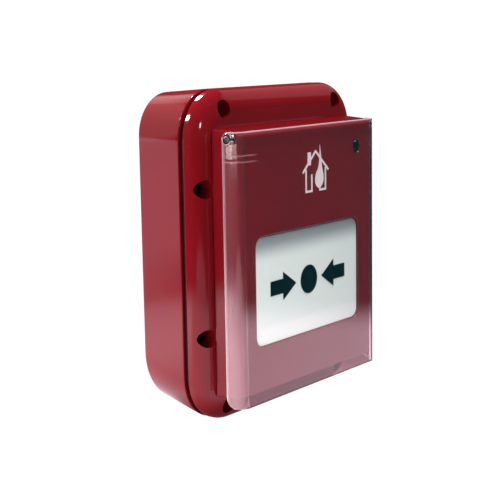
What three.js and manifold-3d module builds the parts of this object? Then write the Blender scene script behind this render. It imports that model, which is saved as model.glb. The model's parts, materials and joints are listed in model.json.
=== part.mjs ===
// Manual call point: a red wall box, a bezel screwed over it, a push element behind a clear flip
// cover, and the switch gear inside. Millimetres. +X is the viewer's right, +Z is up, the front
// faces -Y, and the origin is the centre of the face that rests on the wall.
import * as THREE from "three";
import { mergeVertices } from "three/addons/utils/BufferGeometryUtils.js";
import Module from "manifold-3d";

const wasm = await Module();
wasm.setup();

// ---- Driving dimensions ----------------------------------------------------------------------
const CLEARANCE = 0.3; // between a piece and the neighbour that it passes through or lies on
const OUTLINE = { halfWidth: 54, top: 64.7, bottom: -66.4, radius: 19.2 }; // bezel, and box at the seam
// The box narrows towards the wall by each lean, and its corners grow tighter above and rounder below.
const BOX = {
  depth: 22.7, wall: 2.8, leanX: 2.7, leanTop: 1.6, leanBottom: 3.3, tighterTop: 2.2, rounderBottom: 4,
  wallEdge: 0.8, seamEdge: 0.4,
};
const SEAM = { width: 2.1, inset: 1.6, sealWidth: 9.4 };
const BEZEL = { straight: 1.8, rimDepth: 6.7, rimInset: 8.5, rimSteps: 6, rearEdge: 0.4 };
const HOUSING = { halfWidth: 47, halfHeight: 52.3, centreZ: -2.3, depth: 11.5, wall: 2.2 };
const HOUSING_DRAFT = 0.9; // each side leans in this much from the bezel to the front
const HOUSING_EDGE = { corner: 1, front: 0.6, top: 2.4 };
const COVER = { halfWidth: 49.2, bottom: -57.4, top: 49.1, wall: 1.7, bend: 5.2, heel: 4.5 };
const COVER_REACH = { front: -47.6, rear: -40 }; // Y of the front face and of the side flanges' edge
const HINGE = { y: -42.5, z: 46.6, boss: 2.5 };
const PIN = { radius: 1.6, inner: 40.9, headInner: 49.5, headOuter: 49.9, head: 2.1 };
const PIN_BORE = { radius: 0.9, inner: 46.2 };
const WINDOW = { halfWidth: 36.7, halfHeight: 21.9, radius: 4.5, centreZ: -14 };
const ELEMENT = { play: 0.5, recess: 0.8, lip: 1.7, face: 1.8, flange: 1.2, bevel: 0.4 };
const LEGEND = { height: 0.15, lift: 0.02, centreZ: -13.8, dot: 5.9 };
const ARROW = { tail: 26.6, shoulder: 18.1, tip: 9.1, halfShaft: 2.9, halfHead: 5.7 };
const PICTOGRAM = {
  x: 4.4, z: 21.8, halfWidth: 9.2, wallX: 7, eave: 8.4, doorX: 2.9, doorHeight: 7.2,
  chimneyX: -4.6, ridge: 16.6, stroke: 0.9,
};
const CARRIER = { halfWidth: 30, halfHeight: 13, thickness: 2, legX: 24, legRadius: 2.5 };
const GUIDE = { halfWidth: 41.5, halfHeight: 29.2, centreZ: -13.75, rear: -34.1, thickness: 1.6 };
const SWITCH = { x: -10, length: 12.8, height: 7.6, front: -29, rear: -22.6 };
const SWITCH_PEG = { reach: 5, aboveCentre: 2.4, radius: 0.7, rear: -23.6 };
const LEVER = { pivotX: -16, y: -29.7, thickness: 0.3, length: 14, halfHeight: 1.3, tilt: 17 };
const PLUNGER = { x: -12, radius: 1, tip: -30.2, length: 2.9, boreRear: -25.6 };
const FINGER = { x: -6.5, halfWidth: 1, halfHeight: 1.2, tip: -33.3 };
const BOARD = { halfWidth: 41, bottom: 17, top: 42, front: -36.6, thickness: 1.6 };
const LAMP = { x: 35.6, z: 38, radius: 2.55, flange: 2.95, tip: -45.6 };
const TERMINAL = { ways: 3, pitch: 5.6, height: 10.4, depth: 10.3, z: 32.8, x: 15 };
const BEZEL_SCREW = { head: 2.9, headHeight: 2, shank: 1.6, tip: -11.2, socket: 1.5 };
const WELL = { radius: 3.6, floor: -25.9 };
const HOUSING_SCREW = { x: 39.5, top: 46, bottom: -48.6, head: 2.9, shank: 1.45, tip: -39.4 };
const KEYWAY = { x: 20, y: -38.2, radius: 3.2, collar: 4, top: -46.5, camReach: 4.2, camHalf: 1.4 };
const CABLE_HOLE = { z: -34, radius: 9, grommetBore: 5 };
const ENTRY = { y: -12, radius: 6, head: 7.4, headHeight: 1.2, nut: 8.8, bore: 4.2, nutZ: -60, boss: 9.2 };
const WALL_HOLE = { x: 32, top: 40, bottom: -44, radius: 2.4 };

// ---- Places worked out from them ---------------------------------------------------------------
const bezelRear = -BOX.depth - SEAM.width;
const entrySeat = OUTLINE.bottom + 0.35; // flat underside of the boss round the conduit entry
const rimStart = bezelRear - BEZEL.straight;
const bezelFace = rimStart - BEZEL.rimDepth;
const housingRear = bezelFace - 0.2;
const housingFront = housingRear - HOUSING.depth;
const housingInside = housingFront + HOUSING.wall;
const elementFace = housingFront + ELEMENT.recess;
const flangeFront = elementFace + ELEMENT.face;
const flangeRear = flangeFront + ELEMENT.flange;
const carrierFront = flangeRear + CLEARANCE;
const carrierRear = carrierFront + CARRIER.thickness;
const guideFront = GUIDE.rear - GUIDE.thickness;
const boardRear = BOARD.front + BOARD.thickness;
const bezelScrewPlaces = [
  ...[-38.6, 38.6].flatMap((x) => [[x, 57], [x, -59.6]]),
  ...[-49.8, 49.8].flatMap((x) => [[x, 27.2], [x, -30.8]]),
];
const housingScrewPlaces = [-1, 1].flatMap((side) => [
  [side * HOUSING_SCREW.x, HOUSING_SCREW.top],
  [side * HOUSING_SCREW.x, HOUSING_SCREW.bottom],
]);
const boardScrewPlaces = [[-36.5, 20.5], [36.5, 20.5], [0, 34]];
const guideScrewPlaces = [-33, 33].flatMap((x) => [[x, 12.2], [x, -40.3]]);

// ---- Solids ------------------------------------------------------------------------------------
const ROUND = 20; // sides of a small round piece
const SCREW_SIDES = 12;

// A closed three.js geometry as a solid with its faces pointing out.
function solid(geometry) {
  const bare = geometry.clone();
  bare.deleteAttribute("normal");
  bare.deleteAttribute("uv");
  const merged = mergeVertices(bare, 1e-4);
  const faces = [];
  for (let i = 0; i < merged.index.count; i += 3) {
    const [a, b, c] = [0, 1, 2].map((k) => merged.index.getX(i + k));
    if (a !== b && b !== c && c !== a) faces.push([a, b, c]);
  }
  const vertProperties = new Float32Array(merged.attributes.position.array);
  const build = (list) =>
    new wasm.Manifold(new wasm.Mesh({ numProp: 3, vertProperties, triVerts: new Uint32Array(list.flat()) }));
  const made = build(faces);
  return made.volume() < 0 ? build(faces.map(([a, b, c]) => [a, c, b])) : made;
}

const join = (first, ...others) => others.reduce((all, next) => all.add(next), first);
const cut = (body, ...tools) => tools.reduce((left, tool) => left.subtract(tool), body);

// A solid as a geometry with flat faces.
function geometryOf(body) {
  const mesh = body.getMesh();
  const geometry = new THREE.BufferGeometry();
  geometry.setAttribute("position", new THREE.BufferAttribute(new Float32Array(mesh.vertProperties), 3));
  geometry.setIndex(new THREE.BufferAttribute(new Uint32Array(mesh.triVerts), 1));
  const flat = geometry.toNonIndexed();
  flat.computeVertexNormals();
  return flat;
}

// An outline in the XZ plane with rounded corners.
function roundedRect(halfWidth, halfHeight, radius, x = 0, z = 0) {
  const shape = new THREE.Shape();
  const quarter = Math.PI / 2;
  const corners = [[1, -1, -quarter], [1, 1, 0], [-1, 1, quarter], [-1, -1, 2 * quarter]];
  for (const [sideX, sideZ, start] of corners) {
    const centreX = x + sideX * (halfWidth - radius);
    const centreZ = z + sideZ * (halfHeight - radius);
    shape.absarc(centreX, centreZ, radius, start, start + quarter, false);
  }
  shape.closePath();
  return shape;
}

function polygon(points) {
  return new THREE.Shape(points.map(([x, z]) => new THREE.Vector2(x, z)));
}

// An XZ outline carried from rearY forward to frontY.
function slab(shape, rearY, frontY, curveSegments = 3) {
  const depth = rearY - frontY;
  const geometry = new THREE.ExtrudeGeometry(shape, { depth, bevelEnabled: false, curveSegments });
  return solid(geometry.rotateX(Math.PI / 2).translate(0, rearY, 0));
}

function box(lowX, highX, rearY, frontY, lowZ, highZ) {
  return slab(polygon([[lowX, lowZ], [highX, lowZ], [highX, highZ], [lowX, highZ]]), rearY, frontY);
}

function rodY(radius, rearY, frontY, x, z, sides = ROUND) {
  const geometry = new THREE.CylinderGeometry(radius, radius, rearY - frontY, sides);
  return solid(geometry.translate(x, (rearY + frontY) / 2, z));
}

function rodX(radius, lowX, highX, y, z, sides = ROUND) {
  const geometry = new THREE.CylinderGeometry(radius, radius, highX - lowX, sides).rotateZ(Math.PI / 2);
  return solid(geometry.translate((lowX + highX) / 2, y, z));
}

function rodZ(radius, lowZ, highZ, x, y, sides = ROUND) {
  const geometry = new THREE.CylinderGeometry(radius, radius, highZ - lowZ, sides).rotateX(Math.PI / 2);
  return solid(geometry.translate(x, y, (lowZ + highZ) / 2));
}

// Rounded rectangles at several depths, joined by straight walls and closed at both ends.
// Sections run from the rear, highest Y, to the front.
function loft(sections, cornerSteps = 6) {
  const ringOf = ({ y, halfWidth, halfHeight, radius, lowRadius = radius, centreZ = 0 }) => {
    const ring = [];
    for (const [sideX, sideZ, start] of [[1, -1, -1], [1, 1, 0], [-1, 1, 1], [-1, -1, 2]]) {
      const bend = sideZ < 0 ? lowRadius : radius;
      for (let step = 0; step <= cornerSteps; step += 1) {
        const angle = ((start + step / cornerSteps) * Math.PI) / 2;
        const x = sideX * (halfWidth - bend) + bend * Math.cos(angle);
        const z = centreZ + sideZ * (halfHeight - bend) + bend * Math.sin(angle);
        ring.push([x, y, z]);
      }
    }
    return ring;
  };
  const rings = sections.map(ringOf);
  const count = rings[0].length;
  const positions = rings.flat();
  const faces = [];
  for (let level = 0; level < rings.length - 1; level += 1) {
    for (let i = 0; i < count; i += 1) {
      const next = (i + 1) % count;
      const [a, b] = [level * count + i, level * count + next];
      const [c, d] = [b + count, a + count];
      faces.push([a, b, c], [a, c, d]);
    }
  }
  const lastRing = (rings.length - 1) * count;
  for (let i = 1; i < count - 1; i += 1) {
    faces.push([0, i + 1, i], [lastRing, lastRing + i, lastRing + i + 1]);
  }
  const geometry = new THREE.BufferGeometry();
  geometry.setAttribute("position", new THREE.Float32BufferAttribute(positions.flat(), 3));
  geometry.setIndex(faces.flat());
  return solid(geometry);
}

// A screw along Y. Its head runs from the seat to the top, where the hex socket is, and its
// shank from the seat to the tip on the other side.
function screw({ head, seat, top, shank, tip, socket, x, z }) {
  const outward = Math.sign(top - seat);
  const taper = outward * shank * 0.7;
  const profile = [
    [0, tip], [shank * 0.3, tip], [shank, tip + taper], [shank, seat], [head, seat], [head, top], [0, top],
  ].map(([radius, y]) => new THREE.Vector2(radius, y));
  const body = solid(new THREE.LatheGeometry(profile, SCREW_SIDES).translate(x, 0, z));
  const socketEnds = [top - 0.65 * (top - seat), top + outward].sort((a, b) => b - a);
  return cut(body, rodY(socket, socketEnds[0], socketEnds[1], x, z, 6));
}

// ---- Colours -----------------------------------------------------------------------------------
const finish = (color, roughness, metalness = 0, extra = {}) =>
  new THREE.MeshStandardMaterial({ color, roughness, metalness, ...extra });
const RED_PLASTIC = finish(0x9c1420, 0.25);
const CLEAR_PLASTIC = finish(0xe8e0e4, 0.08, 0, { transparent: true, opacity: 0.25 });
const WHITE_PLASTIC = finish(0xe6ebe6, 0.35);
const BLACK_PLASTIC = finish(0x17181a, 0.5);
const BLACK_INK = finish(0x0d1b1d, 0.55);
const WHITE_INK = finish(0xe3d9d9, 0.5);
const SEAL_RUBBER = finish(0x1d1012, 0.85);
const ZINC_STEEL = finish(0x3f383b, 0.35, 0.9);
const BRIGHT_STEEL = finish(0xd0d3d6, 0.15, 1);
const BOARD_GREEN = finish(0x1f5a32, 0.5);
const LENS_GREEN = finish(0x0f3a24, 0.15);
const TERMINAL_GREY = finish(0x5d6469, 0.5);

const callPoint = new THREE.Group();
function add(name, body, material, group = callPoint) {
  const mesh = new THREE.Mesh(geometryOf(body), material);
  mesh.name = name;
  group.add(mesh);
}

// ---- Wall box ----------------------------------------------------------------------------------
function outlineAt(y, inset) {
  const lean = Math.max(0, 1 + y / BOX.depth); // 1 at the wall, 0 from the seam forward
  const top = OUTLINE.top - BOX.leanTop * lean - inset;
  const bottom = OUTLINE.bottom + BOX.leanBottom * lean + inset;
  return {
    y,
    halfWidth: OUTLINE.halfWidth - BOX.leanX * lean - inset,
    halfHeight: (top - bottom) / 2,
    centreZ: (top + bottom) / 2,
    radius: OUTLINE.radius - BOX.tighterTop * lean - inset,
    lowRadius: OUTLINE.radius + BOX.rounderBottom * lean - inset,
  };
}

function backBox() {
  const outside = loft([
    outlineAt(0, BOX.wallEdge),
    outlineAt(-BOX.wallEdge, 0),
    outlineAt(-BOX.depth + BOX.seamEdge, 0),
    outlineAt(-BOX.depth, BOX.seamEdge),
  ]);
  const inside = loft([outlineAt(-BOX.wall, BOX.wall), outlineAt(-BOX.depth - 1, BOX.wall)]);
  const pillars = bezelScrewPlaces.map(([x, z]) => rodY(4.2, -1, -BOX.depth, x, z));
  const pilots = bezelScrewPlaces.map(([x, z]) =>
    rodY(BEZEL_SCREW.shank + CLEARANCE, BEZEL_SCREW.tip + 2, -BOX.depth - 1, x, z, 12));
  const wallHoles = [-1, 1].flatMap((side) =>
    [WALL_HOLE.top, WALL_HOLE.bottom].map((z) =>
      rodY(WALL_HOLE.radius, 1, -BOX.wall - 1, side * WALL_HOLE.x, z, 12)));
  const shell = cut(outside, inside);
  const entryBoss = rodZ(ENTRY.boss, entrySeat, ENTRY.nutZ - 0.2, 0, ENTRY.y, 28);
  const filled = join(shell, entryBoss, ...pillars.map((pillar) => pillar.intersect(outside)));
  return cut(
    filled,
    ...pilots,
    ...wallHoles,
    rodY(CABLE_HOLE.radius, 1, -BOX.wall - 1, 0, CABLE_HOLE.z),
    rodZ(ENTRY.radius, entrySeat - 1, ENTRY.nutZ + 1, 0, ENTRY.y),
  );
}
add("back_box", backBox(), RED_PLASTIC);

// ---- Seal between the box and the bezel ------------------------------------------------------
function seal() {
  const ring = (inset) => outlineAt(-BOX.depth, inset);
  const at = (y, inset) => ({ ...ring(inset), y });
  const rear = -BOX.depth - 0.2;
  const front = bezelRear + 0.2;
  const inner = SEAM.inset + SEAM.sealWidth;
  const sheet = loft([at(rear, SEAM.inset), at(front, SEAM.inset)], 4);
  const middle = loft([at(rear + 1, inner), at(front - 1, inner)], 4);
  const holes = bezelScrewPlaces.map(([x, z]) => rodY(2, rear + 1, front - 1, x, z, 10));
  return cut(sheet, middle, ...holes);
}
add("box_seal", seal(), SEAL_RUBBER);

// ---- Bezel ---------------------------------------------------------------------------------------
function bezel() {
  const rim = [];
  for (let step = 0; step <= BEZEL.rimSteps; step += 1) {
    const turn = ((step / BEZEL.rimSteps) * Math.PI) / 2;
    const inset = BEZEL.rimInset * (1 - Math.cos(turn));
    rim.push(outlineAt(rimStart - BEZEL.rimDepth * Math.sin(turn), inset));
  }
  const block = loft([
    outlineAt(bezelRear, BEZEL.rearEdge),
    outlineAt(bezelRear - BEZEL.rearEdge, 0),
    ...rim,
  ]);
  const opening = slab(roundedRect(37, 41, 3, 0, HOUSING.centreZ), bezelRear + 1, bezelFace - 1, 2);
  const wells = bezelScrewPlaces.flatMap(([x, z]) => [
    rodY(WELL.radius, WELL.floor, bezelFace - 2, x, z),
    rodY(BEZEL_SCREW.shank + CLEARANCE, bezelRear + 1, WELL.floor - 1, x, z, 12),
  ]);
  const rearSeats = housingScrewPlaces.flatMap(([x, z]) => [
    rodY(HOUSING_SCREW.head + 0.4, bezelRear + 1, bezelRear - 3.5, x, z, 14),
    rodY(HOUSING_SCREW.shank + CLEARANCE, bezelRear, bezelFace - 1, x, z, 12),
  ]);
  return cut(block, opening, ...wells, ...rearSeats);
}
add("bezel", bezel(), RED_PLASTIC);

bezelScrewPlaces.forEach(([x, z], index) => {
  const seat = WELL.floor - 0.2;
  const top = seat - BEZEL_SCREW.headHeight;
  add(`bezel_screw_${index + 1}`, screw({ ...BEZEL_SCREW, seat, top, x, z }), ZINC_STEEL);
});

// ---- Front housing -------------------------------------------------------------------------------
function housingOutline(y, inset) {
  const forward = (housingRear - y) / HOUSING.depth; // 0 at the bezel, 1 at the front face
  return {
    y,
    halfWidth: HOUSING.halfWidth - HOUSING_DRAFT * forward - inset,
    halfHeight: HOUSING.halfHeight - HOUSING_DRAFT * forward - inset,
    radius: Math.max(HOUSING_EDGE.corner - inset, 0.4),
    centreZ: HOUSING.centreZ,
  };
}

// What is cut off to round the long top edge, so that the cover's top can swing past it.
function topEdgeRounding() {
  const radius = HOUSING_EDGE.top;
  const edgeZ = HOUSING.centreZ + HOUSING.halfHeight - HOUSING_DRAFT;
  const corner = rodX(radius, -60, 60, housingFront + radius, edgeZ - radius, 24);
  const block = box(-59, 59, housingFront + radius, housingFront - 2, edgeZ - radius, edgeZ + 3);
  return cut(block, corner);
}

function frontHousing() {
  const outside = loft([
    housingOutline(housingRear, 0),
    housingOutline(housingFront + HOUSING_EDGE.front, 0),
    housingOutline(housingFront, HOUSING_EDGE.front),
  ], 3);
  const inside = loft([
    housingOutline(housingRear + 1, HOUSING.wall),
    housingOutline(housingInside, HOUSING.wall),
  ], 3);
  const post = (radius, rearY) => ([x, z]) => rodY(radius, rearY, housingInside - 0.3, x, z, 12);
  const hingeBlocks = [-1, 1].map((side) => {
    const ends = [side * 39.8, side * 45.4].sort((a, b) => a - b);
    return box(ends[0], ends[1], -39.2, -43.6, 43.2, 47.6);
  });
  const filled = join(
    cut(outside, topEdgeRounding(), inside),
    ...hingeBlocks,
    ...housingScrewPlaces.map(post(2.9, housingRear)),
    ...boardScrewPlaces.map(post(2.4, BOARD.front - CLEARANCE)),
    ...guideScrewPlaces.map(post(2.4, guideFront - CLEARANCE)),
  );
  const pinHoles = [-1, 1].map((side) => {
    const ends = [side * 40.6, side * 50].sort((a, b) => a - b);
    return rodX(PIN.radius + CLEARANCE, ends[0], ends[1], HINGE.y, HINGE.z, 14);
  });
  const pilot = (radius, rearY, frontY) => ([x, z]) => rodY(radius, rearY, frontY, x, z, 10);
  return cut(
    filled,
    slab(roundedRect(WINDOW.halfWidth, WINDOW.halfHeight, WINDOW.radius, 0, WINDOW.centreZ),
      housingInside + 1, housingFront - 1),
    rodY(LAMP.radius + CLEARANCE, housingInside + 1, housingFront - 1, LAMP.x, LAMP.z),
    rodZ(KEYWAY.radius + CLEARANCE, -60, -50, KEYWAY.x, KEYWAY.y),
    ...pinHoles,
    ...housingScrewPlaces.map(pilot(HOUSING_SCREW.shank + CLEARANCE, housingRear + 1, -40)),
    ...boardScrewPlaces.map(pilot(1.4, BOARD.front + 1, -41.5)),
    ...guideScrewPlaces.map(pilot(1.4, guideFront + 1, -41.5)),
  );
}
add("front_housing", frontHousing(), RED_PLASTIC);

housingScrewPlaces.forEach(([x, z], index) => {
  const top = bezelRear - 1.2;
  const shape = { ...HOUSING_SCREW, socket: 1.5, seat: top - 2, top, x, z };
  add(`housing_screw_${index + 1}`, screw(shape), ZINC_STEEL);
});

// ---- Clear flip cover ----------------------------------------------------------------------------
// The cover is a flat front with its two sides bent back. Its plan is drawn in XY and carried up Z.
function coverPlan() {
  const { halfWidth, wall, bend } = COVER;
  const { front, rear } = COVER_REACH;
  const plan = new THREE.Shape();
  const centreY = front + bend;
  const inner = bend - wall;
  plan.moveTo(-halfWidth, rear);
  plan.lineTo(-halfWidth, centreY);
  plan.absarc(-halfWidth + bend, centreY, bend, Math.PI, 1.5 * Math.PI, false);
  plan.absarc(halfWidth - bend, centreY, bend, 1.5 * Math.PI, 2 * Math.PI, false);
  plan.lineTo(halfWidth, rear);
  plan.lineTo(halfWidth - wall, rear);
  plan.absarc(halfWidth - bend, centreY, inner, 0, -0.5 * Math.PI, true);
  plan.absarc(-halfWidth + bend, centreY, inner, 1.5 * Math.PI, Math.PI, true);
  plan.lineTo(-halfWidth + wall, rear);
  plan.closePath();
  return plan;
}

// The cover seen from the side, in YZ, as an X-wide block: round at the hinge and at the heel.
function coverSide() {
  const { bottom, heel } = COVER;
  const { front, rear } = COVER_REACH;
  const side = new THREE.Shape();
  side.moveTo(front - 1, bottom);
  side.lineTo(rear - heel, bottom);
  side.absarc(rear - heel, bottom + heel, heel, -0.5 * Math.PI, 0, false);
  side.absarc(HINGE.y, HINGE.z, HINGE.boss, 0, 0.5 * Math.PI, false);
  side.lineTo(front - 1, COVER.top);
  side.closePath();
  const width = 2 * COVER.halfWidth + 2;
  const geometry = new THREE.ExtrudeGeometry(side, { depth: width, bevelEnabled: false, curveSegments: 4 });
  // The drawing's X becomes Y, its Y becomes Z, and its depth runs along X.
  const turn = new THREE.Matrix4().makeBasis(
    new THREE.Vector3(0, 1, 0), new THREE.Vector3(0, 0, 1), new THREE.Vector3(1, 0, 0));
  return solid(geometry.applyMatrix4(turn).translate(-width / 2, 0, 0));
}

function cover() {
  const height = COVER.top - COVER.bottom;
  const extrusion = { depth: height, bevelEnabled: false, curveSegments: 3 };
  const bent = new THREE.ExtrudeGeometry(coverPlan(), extrusion);
  const sheet = solid(bent.translate(0, 0, COVER.bottom)).intersect(coverSide());
  const bosses = [-1, 1].map((side) => {
    const ends = [side * 47, side * (COVER.halfWidth - 0.9)].sort((a, b) => a - b);
    return rodX(HINGE.boss - 0.2, ends[0], ends[1], HINGE.y, HINGE.z, 16);
  });
  return cut(join(sheet, ...bosses), rodX(PIN.radius + CLEARANCE, -60, 60, HINGE.y, HINGE.z, 16));
}
add("flip_cover", cover(), CLEAR_PLASTIC);

for (const [name, side] of [["cover_pin_left", -1], ["cover_pin_right", 1]]) {
  const rod = (radius, from, to, sides) => {
    const [low, high] = [side * from, side * to].sort((a, b) => a - b);
    return rodX(radius, low, high, HINGE.y, HINGE.z, sides);
  };
  const shaft = rod(PIN.radius, PIN.inner, PIN.headInner + 0.1);
  const pin = join(shaft, rod(PIN.head, PIN.headInner, PIN.headOuter));
  add(name, cut(pin, rod(PIN_BORE.radius, PIN_BORE.inner, PIN.headOuter + 1, 12)), BRIGHT_STEEL);
}

// ---- Push element, with what is printed on it ---------------------------------------------------
function pushElement() {
  const { play, lip, bevel } = ELEMENT;
  const section = (y, grow) => ({
    y,
    halfWidth: WINDOW.halfWidth - play + grow,
    halfHeight: WINDOW.halfHeight - play + grow,
    radius: WINDOW.radius - play + Math.max(grow, -bevel),
    centreZ: WINDOW.centreZ,
  });
  const front = loft([
    section(flangeFront + 0.5, 0),
    section(elementFace + bevel, 0),
    section(elementFace, -bevel),
  ]);
  const flange = loft([section(flangeRear, lip), section(flangeFront, lip)]);
  return join(front, flange);
}
add("push_element", pushElement(), WHITE_PLASTIC);

const legendRear = elementFace - LEGEND.lift;
function printed(shape, rearY, curveSegments = 8) {
  return slab(shape, rearY, rearY - LEGEND.height, curveSegments);
}
function arrow(side) {
  const { tail, shoulder, tip, halfShaft, halfHead } = ARROW;
  const half = [[tail, halfShaft], [shoulder, halfShaft], [shoulder, halfHead]];
  const upper = half.map(([x, z]) => [side * x, LEGEND.centreZ + z]);
  const lower = half.map(([x, z]) => [side * x, LEGEND.centreZ - z]).reverse();
  return printed(polygon([...upper, [side * tip, LEGEND.centreZ], ...lower]), legendRear);
}
add("legend_arrow_left", arrow(-1), BLACK_INK);
add("legend_arrow_right", arrow(1), BLACK_INK);
const dot = new THREE.Shape().absarc(0, LEGEND.centreZ, LEGEND.dot, 0, 2 * Math.PI, false);
add("legend_dot", printed(dot, legendRear, 16), BLACK_INK);

// ---- Pictogram: a plain house with an open doorway and a flame that rises through its roof -------
function pictogram() {
  const { x, z, halfWidth, wallX, eave, doorX, doorHeight, chimneyX, ridge, stroke } = PICTOGRAM;
  const rear = housingFront - LEGEND.lift;
  const bar = (fromX, fromZ, toX, toZ, width = stroke) => {
    const [dx, dz] = [toX - fromX, toZ - fromZ];
    const length = Math.hypot(dx, dz);
    const [sx, sz] = [(-dz / length) * (width / 2), (dx / length) * (width / 2)];
    const near = [[fromX - sx, fromZ - sz], [toX - sx, toZ - sz]];
    const far = [[toX + sx, toZ + sz], [fromX + sx, fromZ + sz]];
    return printed(polygon([...near, ...far].map(([u, v]) => [x + u, z + v])), rear);
  };
  const half = stroke / 2;
  const flame = new THREE.Shape();
  flame.moveTo(x + 2.4, z + 1);
  flame.bezierCurveTo(x - 1.6, z + 2.2, x - 1, z + 6.4, x + 1, z + 8.4);
  flame.bezierCurveTo(x + 2.4, z + 10, x + 2.9, z + 12.5, x + 3, z + 18.8);
  flame.bezierCurveTo(x + 4.2, z + 14.2, x + 3.9, z + 10.6, x + 5, z + 8.2);
  flame.bezierCurveTo(x + 6.4, z + 5, x + 5.6, z + 2, x + 2.4, z + 1);
  return join(
    bar(-wallX - half, half, -doorX + half, half),
    bar(doorX - half, half, wallX + half, half),
    bar(-wallX, 0, -wallX, eave + 1),
    bar(wallX, 0, wallX, eave + 1),
    bar(-doorX, 0.2, -doorX, doorHeight),
    bar(doorX, 0.2, doorX, 3),
    bar(-halfWidth, eave - 0.2, 0.2, ridge),
    bar(halfWidth, eave - 0.2, -0.2, ridge),
    bar(chimneyX, 11, chimneyX, ridge - 0.4, 2.2),
    printed(flame, rear, 5),
  );
}
add("pictogram", pictogram(), WHITE_INK);

// ---- Carrier that the element pushes back, and the plate that guides it -------------------------
function elementCarrier() {
  const { halfWidth, halfHeight, legX, legRadius } = CARRIER;
  const plate = slab(roundedRect(halfWidth, halfHeight, 3, 0, WINDOW.centreZ), carrierRear, carrierFront, 2);
  const legs = [-1, 1].map((side) =>
    rodY(legRadius, -31, carrierFront + 0.5, side * legX, WINDOW.centreZ, 16));
  const finger = box(
    FINGER.x - FINGER.halfWidth, FINGER.x + FINGER.halfWidth,
    FINGER.tip, carrierFront + 0.5,
    WINDOW.centreZ - FINGER.halfHeight, WINDOW.centreZ + FINGER.halfHeight,
  );
  const windowCut = slab(roundedRect(8, 8, 2, 10, WINDOW.centreZ), carrierRear + 1, carrierFront - 1, 2);
  return cut(join(plate, ...legs, finger), windowCut);
}
add("element_carrier", elementCarrier(), WHITE_PLASTIC);

const switchPegPlaces = [-1, 1].map((side) => [
  SWITCH.x + side * SWITCH_PEG.reach,
  WINDOW.centreZ + SWITCH_PEG.aboveCentre,
]);
function guidePlate() {
  const plate = slab(
    roundedRect(GUIDE.halfWidth, GUIDE.halfHeight, 2, 0, GUIDE.centreZ), GUIDE.rear, guideFront, 2);
  const bushes = [-1, 1].map((side) =>
    rodY(CARRIER.legRadius + 2, -31.4, guideFront, side * CARRIER.legX, WINDOW.centreZ, 16));
  const pegs = switchPegPlaces.map(([x, z]) =>
    rodY(SWITCH_PEG.radius, SWITCH_PEG.rear, guideFront, x, z, 8));
  const bores = [-1, 1].map((side) =>
    rodY(CARRIER.legRadius + CLEARANCE, -30, guideFront - 1, side * CARRIER.legX, WINDOW.centreZ, 16));
  const slotHalf = FINGER.halfWidth + 0.5;
  const slotHeight = FINGER.halfHeight + 0.5;
  const slot = box(
    FINGER.x - slotHalf, FINGER.x + slotHalf, GUIDE.rear + 1, guideFront - 1,
    WINDOW.centreZ - slotHeight, WINDOW.centreZ + slotHeight,
  );
  const screwHoles = guideScrewPlaces.map(([x, z]) => rodY(1.4, GUIDE.rear + 1, guideFront - 1, x, z, 10));
  return cut(join(plate, ...bushes, ...pegs), ...bores, slot, ...screwHoles);
}
add("guide_plate", guidePlate(), BLACK_PLASTIC);

// Screws that go in from behind, into posts on the inside of the housing's front wall.
function smallScrew(faceY, x, z) {
  const seat = faceY + CLEARANCE / 2;
  return screw({ head: 2, shank: 1.1, socket: 1, seat, top: seat + 1.3, tip: faceY - 5, x, z });
}
guideScrewPlaces.forEach(([x, z], index) => {
  add(`guide_screw_${index + 1}`, smallScrew(GUIDE.rear, x, z), ZINC_STEEL);
});

// ---- Microswitch ---------------------------------------------------------------------------------
function switchBody() {
  const halfHeight = SWITCH.height / 2;
  const body = box(
    SWITCH.x - SWITCH.length / 2, SWITCH.x + SWITCH.length / 2, SWITCH.rear, SWITCH.front,
    WINDOW.centreZ - halfHeight, WINDOW.centreZ + halfHeight,
  );
  const pegHoles = switchPegPlaces.map(([x, z]) =>
    rodY(SWITCH_PEG.radius + CLEARANCE, SWITCH.rear + 1, SWITCH.front - 1, x, z, 8));
  const boreRadius = PLUNGER.radius + CLEARANCE;
  const plungerBore = rodY(boreRadius, PLUNGER.boreRear, SWITCH.front - 1, PLUNGER.x, WINDOW.centreZ, 12);
  return cut(body, ...pegHoles, plungerBore);
}
add("microswitch_body", switchBody(), BLACK_PLASTIC);
add("microswitch_plunger",
  rodY(PLUNGER.radius, PLUNGER.tip + PLUNGER.length, PLUNGER.tip, PLUNGER.x, WINDOW.centreZ, 14),
  WHITE_PLASTIC);

function switchLever() {
  const { pivotX, y, thickness, length, halfHeight, tilt } = LEVER;
  const [low, high] = [WINDOW.centreZ - halfHeight, WINDOW.centreZ + halfHeight];
  const blade = box(0, length, thickness / 2, -thickness / 2, low, high);
  const barrel = rodZ(0.5, low, high, 0, 0, 10);
  return join(blade, barrel).rotate([0, 0, -tilt]).translate([pivotX, y, 0]);
}
add("microswitch_lever", switchLever(), BRIGHT_STEEL);

// ---- Circuit board, lamp and terminals ------------------------------------------------------------
function circuitBoard() {
  const plate = box(-BOARD.halfWidth, BOARD.halfWidth, boardRear, BOARD.front, BOARD.bottom, BOARD.top);
  return cut(plate, ...boardScrewPlaces.map(([x, z]) => rodY(1.4, boardRear + 1, BOARD.front - 1, x, z, 10)));
}
add("circuit_board", circuitBoard(), BOARD_GREEN);
boardScrewPlaces.forEach(([x, z], index) => {
  add(`board_screw_${index + 1}`, smallScrew(boardRear, x, z), ZINC_STEEL);
});

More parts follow.
